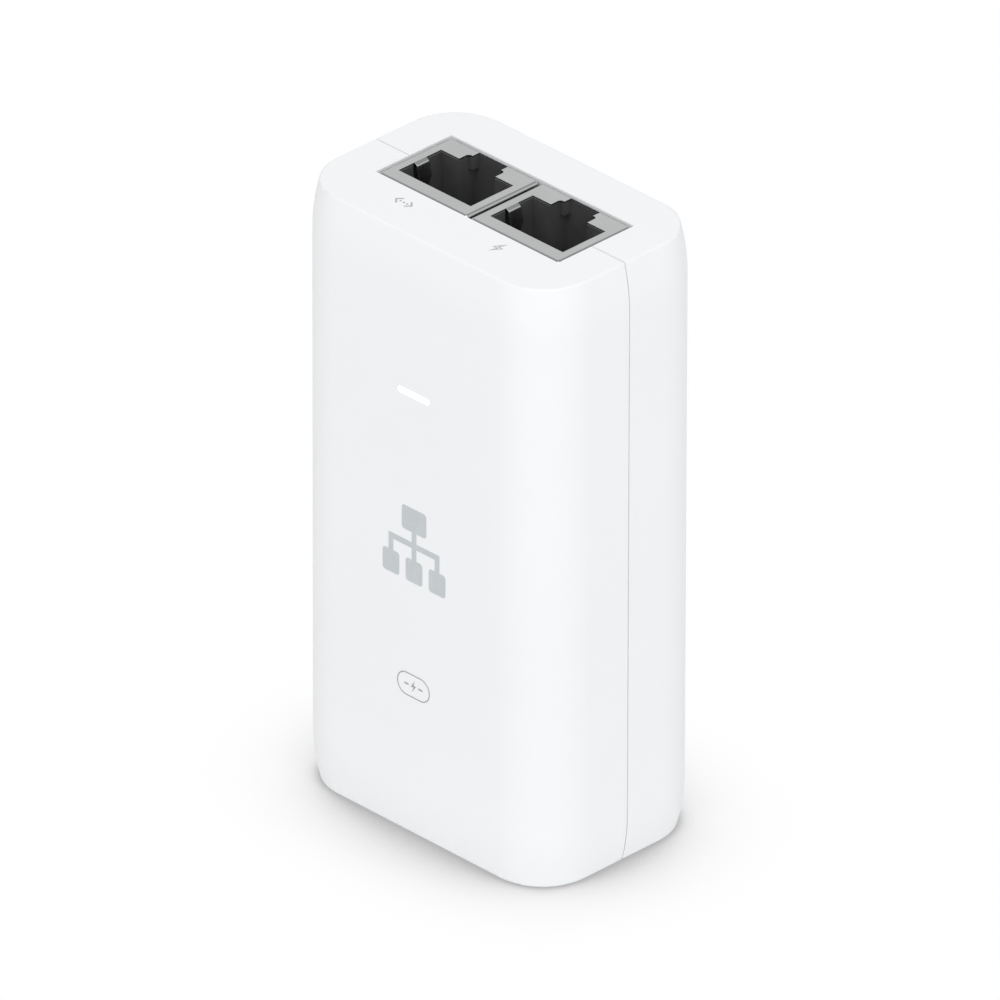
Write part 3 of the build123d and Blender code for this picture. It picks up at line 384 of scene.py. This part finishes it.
def rounded_box(width, height, radius, centre=(0, 0), steps=8):
    """Outline of a rounded rectangle, counter-clockwise."""
    points = []
    corners = ((1, 1, 0), (-1, 1, 90), (-1, -1, 180), (1, -1, 270))
    for side_x, side_y, start in corners:
        middle_x = centre[0] + side_x * (width / 2 - radius)
        middle_y = centre[1] + side_y * (height / 2 - radius)
        for step in range(steps + 1):
            angle = math.radians(start + 90 * step / steps)
            points.append((middle_x + radius * math.cos(angle), middle_y + radius * math.sin(angle)))
    return points


def offset_side(before, point, after, distance):
    """A corner moved to the left of the way through it, with a sharp mitre."""
    first = (Vector(point) - Vector(before)).normalized()
    second = (Vector(after) - Vector(point)).normalized()
    first_normal = Vector((-first.y, first.x))
    second_normal = Vector((-second.y, second.x))
    mitre = (first_normal + second_normal) / (1 + first_normal.dot(second_normal))
    moved = Vector(point) + mitre * distance
    return (moved.x, moved.y)


def inset(outline, distance):
    """A counter-clockwise outline drawn smaller by a distance."""
    count = len(outline)
    return [
        offset_side(outline[i - 1], outline[i], outline[(i + 1) % count], distance)
        for i in range(count)
    ]


def chevron(tip, arm, width, side):
    """Outline of an arrowhead stroke; side is 1 if it points to +X."""
    back = -side * arm
    thick = width * math.sqrt(2) / 2
    outer = [(tip + back, arm), (tip, 0), (tip + back, -arm)]
    notch = tip - side * 2 * thick
    cut = side * thick
    inner = [(tip + back - cut, -arm + thick), (notch, 0), (tip + back - cut, arm - thick)]
    outline = outer + inner
    return outline if side < 0 else outline[::-1]


def add_slab(mesh, outline, place):
    """Thin slab with the given outline."""
    caps = [mesh.verts.new(place(x, y, PRINT_LIFT)) for x, y in outline]
    feet = [mesh.verts.new(place(x, y, -PRINT_SINK)) for x, y in outline]
    mesh.faces.new(caps)
    mesh.faces.new(feet[::-1])
    count = len(outline)
    for i in range(count):
        j = (i + 1) % count
        mesh.faces.new((feet[i], feet[j], caps[j], caps[i]))


def add_band(mesh, outer, inner, place):
    """Thin band between two outlines of the same number of points."""
    rings = [
        [mesh.verts.new(place(x, y, lift)) for x, y in outline]
        for outline, lift in (
            (outer, PRINT_LIFT), (inner, PRINT_LIFT), (inner, -PRINT_SINK), (outer, -PRINT_SINK)
        )
    ]
    count = len(outer)
    for k in range(4):
        first, second = rings[k], rings[(k + 1) % 4]
        for i in range(count):
            j = (i + 1) % count
            mesh.faces.new((first[i], first[j], second[j], second[i]))


def finish_mark(name, mesh, material):
    """Turns drawn slabs into an object that rides on the case."""
    bmesh.ops.recalc_face_normals(mesh, faces=mesh.faces)
    data = bpy.data.meshes.new(name)
    mesh.to_mesh(data)
    mesh.free()
    data.materials.append(material)
    piece = bpy.data.objects.new(name, data)
    bpy.context.scene.collection.objects.link(piece)
    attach(piece, "case")


def front_emblem(ink):
    """Generic network sign: one box joined to three below it."""
    mesh = bmesh.new()
    place = on_front(EMBLEM_AT)
    reach = EMBLEM_REACH
    bar = EMBLEM_BAR
    top = EMBLEM_TOP
    foot = EMBLEM_FOOT
    comb = [
        (-bar, top), (-bar, bar), (-reach - bar, bar), (-reach - bar, foot), (-reach + bar, foot),
        (-reach + bar, -bar), (-bar, -bar), (-bar, foot), (bar, foot), (bar, -bar),
        (reach - bar, -bar), (reach - bar, foot), (reach + bar, foot), (reach + bar, bar),
        (bar, bar), (bar, top),
    ]
    add_slab(mesh, comb, place)
    head_middle = (0, top + EMBLEM_HEAD[1] / 2)
    add_slab(mesh, rounded_box(*EMBLEM_HEAD, EMBLEM_CORNER, head_middle), place)
    for across in (-reach, 0, reach):
        box_middle = (across, foot - EMBLEM_BOX[1] / 2)
        add_slab(mesh, rounded_box(*EMBLEM_BOX, EMBLEM_CORNER, box_middle), place)
    finish_mark("front_emblem", mesh, ink)


def bolt_outline(size):
    """Lightning bolt, counter-clockwise, about its middle; size is its height."""
    points = list(BOLT_HALF) + [(-x, -y) for x, y in BOLT_HALF]
    return [(x * size, y * size) for x, y in points]


def front_badge(ink):
    """Outlined pill with a bolt between two dashes."""
    mesh = bmesh.new()
    place = on_front(BADGE_AT)
    width, height = BADGE_SIZE
    outer = rounded_box(width, height, height / 2 - FLAT_END)
    line = BADGE_LINE
    inner = rounded_box(width - 2 * line, height - 2 * line, height / 2 - line - FLAT_END)
    add_band(mesh, outer, inner, place)
    add_slab(mesh, bolt_outline(BADGE_BOLT), place)
    for side in (-1, 1):
        add_slab(mesh, rounded_box(*BADGE_DASH, (side * BADGE_DASH_AT, 0)), place)
    finish_mark("front_badge", mesh, ink)


def data_port_icon(ink):
    """Two arrowheads with three dots between them."""
    mesh = bmesh.new()
    place = on_top(DATA_ICON_AT)
    for side in (-1, 1):
        add_slab(mesh, chevron(side * ARROW_TIP, ARROW_ARM, ARROW_LINE, side), place)
    for step in (-1, 0, 1):
        add_slab(mesh, rounded_box(*DOT_SIZE, (step * DOT_PITCH, 0)), place)
    finish_mark("data_port_icon", mesh, ink)


def poe_port_icon(ink):
    """Outlined lightning bolt."""
    mesh = bmesh.new()
    outline = bolt_outline(BOLT_ICON_SIZE)
    add_band(mesh, outline, inset(outline, BOLT_ICON_LINE), on_top(BOLT_ICON_AT))
    finish_mark("poe_port_icon", mesh, ink)


# Studio


def floor_plane(name, height):
    """Large flat square for the object to stand on."""
    mesh = bmesh.new()
    bmesh.ops.create_grid(mesh, x_segments=1, y_segments=1, size=FLOOR_SIZE)
    data = bpy.data.meshes.new(name)
    mesh.to_mesh(data)
    mesh.free()
    floor = bpy.data.objects.new(name, data)
    floor.location.z = height
    bpy.context.scene.collection.objects.link(floor)
    return floor


def make_bounce_floor():
    """White floor that lights the object from below but isn't seen itself."""
    floor = floor_plane("floor_bounce", 0)
    material, _, shader = new_tree("floor_white")
    shader.inputs["Base Color"].default_value = (0.95, 0.95, 0.95, 1)
    shader.inputs["Roughness"].default_value = 0.9
    shader.inputs["Specular IOR Level"].default_value = 0.1
    floor.data.materials.append(material)
    floor.visible_camera = False


def make_seen_floor():
    """Pale floor with only a soft contact shadow."""
    floor = floor_plane("floor_seen", FLOOR_LIFT)
    material, tree, shader = new_tree("floor_pale")
    contact = tree.nodes.new("ShaderNodeAmbientOcclusion")
    contact.samples = 16
    contact.inputs["Distance"].default_value = CONTACT_SHADOW_REACH
    shadow = tree.nodes.new("ShaderNodeValToRGB")
    tree.links.new(contact.outputs["AO"], shadow.inputs["Fac"])
    tree.links.new(shadow.outputs["Color"], shader.inputs["Emission Color"])
    shader.inputs["Emission Strength"].default_value = 1.0
    shader.inputs["Base Color"].default_value = (0, 0, 0, 1)
    shader.inputs["Roughness"].default_value = 1.0
    shader.inputs["Specular IOR Level"].default_value = 0.0
    set_stops(shadow, CONTACT_SHADOW)
    material.cycles.emission_sampling = "NONE"
    floor.data.materials.append(material)
    floor.visible_diffuse = False
    floor.visible_glossy = False
    floor.visible_transmission = False
    floor.visible_shadow = False


def direction(azimuth, elevation):
    """Unit vector from the object: azimuth 0 is -Y and 90 is +X."""
    a = math.radians(azimuth)
    e = math.radians(elevation)
    return Vector((math.sin(a) * math.cos(e), -math.cos(a) * math.cos(e), math.sin(e)))


def make_softbox():
    """Large square soft light, high up on the camera's side."""
    data = bpy.data.lights.new("front_softbox", "AREA")
    data.shape = "SQUARE"
    data.size = SOFTBOX_SIZE
    data.energy = SOFTBOX_POWER
    light = bpy.data.objects.new("front_softbox", data)
    bpy.context.scene.collection.objects.link(light)
    back = direction(SOFTBOX_AZIMUTH, SOFTBOX_ELEVATION)
    light.location = Vector((0, 0, TOP_Z / 2)) + back * SOFTBOX_DISTANCE
    light.rotation_mode = "QUATERNION"
    light.rotation_quaternion = back.to_track_quat("Z", "Y")


def make_world():
    """White surroundings with a grey horizon and a grey ceiling."""
    world = bpy.data.worlds.new("studio")
    bpy.context.scene.world = world
    world.use_nodes = True
    tree = world.node_tree
    background = tree.nodes["Background"]
    place = tree.nodes.new("ShaderNodeTexCoord")
    parts = tree.nodes.new("ShaderNodeSeparateXYZ")
    grey = tree.nodes.new("ShaderNodeValToRGB")
    set_stops(grey, STUDIO)
    tree.links.new(place.outputs["Generated"], parts.inputs["Vector"])
    tree.links.new(parts.outputs["Z"], grey.inputs["Fac"])
    tree.links.new(grey.outputs["Color"], background.inputs["Color"])
    background.inputs["Strength"].default_value = WORLD_STRENGTH


def make_camera():
    """Camera at the photograph's angle."""
    data = bpy.data.cameras.new("camera")
    data.sensor_width = CAMERA_SENSOR
    data.lens = CAMERA_LENS
    data.shift_x, data.shift_y = CAMERA_SHIFT
    data.clip_start = 0.1
    data.clip_end = 20
    camera = bpy.data.objects.new("camera", data)
    bpy.context.scene.collection.objects.link(camera)
    back = direction(CAMERA_AZIMUTH, CAMERA_ELEVATION)
    right = Vector((0, 0, 1)).cross(back).normalized()
    up = back.cross(right)
    roll = math.radians(CAMERA_ROLL)
    turned_right = right * math.cos(roll) + up * math.sin(roll)
    turned_up = back.cross(turned_right)
    camera.location = Vector((0, 0, TOP_Z / 2)) + back * CAMERA_DISTANCE
    matrix = camera.matrix_world.copy()
    for row in range(3):
        matrix[row][0] = turned_right[row]
        matrix[row][1] = turned_up[row]
        matrix[row][2] = back[row]
        matrix[row][3] = camera.location[row]
    camera.matrix_world = matrix
    bpy.context.scene.camera = camera


def main():
    """Builds the looks round the fixed frame."""
    make_camera()
    make_world()
    make_bounce_floor()
    make_seen_floor()
    make_softbox()
    scene = bpy.context.scene
    scene.view_settings.view_transform = "Standard"
    dress_nodes(material_library())
    front_emblem(print_ink("ink_emblem", EMBLEM_INK))
    front_badge(print_ink("ink_badge", BADGE_INK))
    icon_ink = print_ink("ink_icon", ICON_INK)
    data_port_icon(icon_ink)
    poe_port_icon(icon_ink)


main()
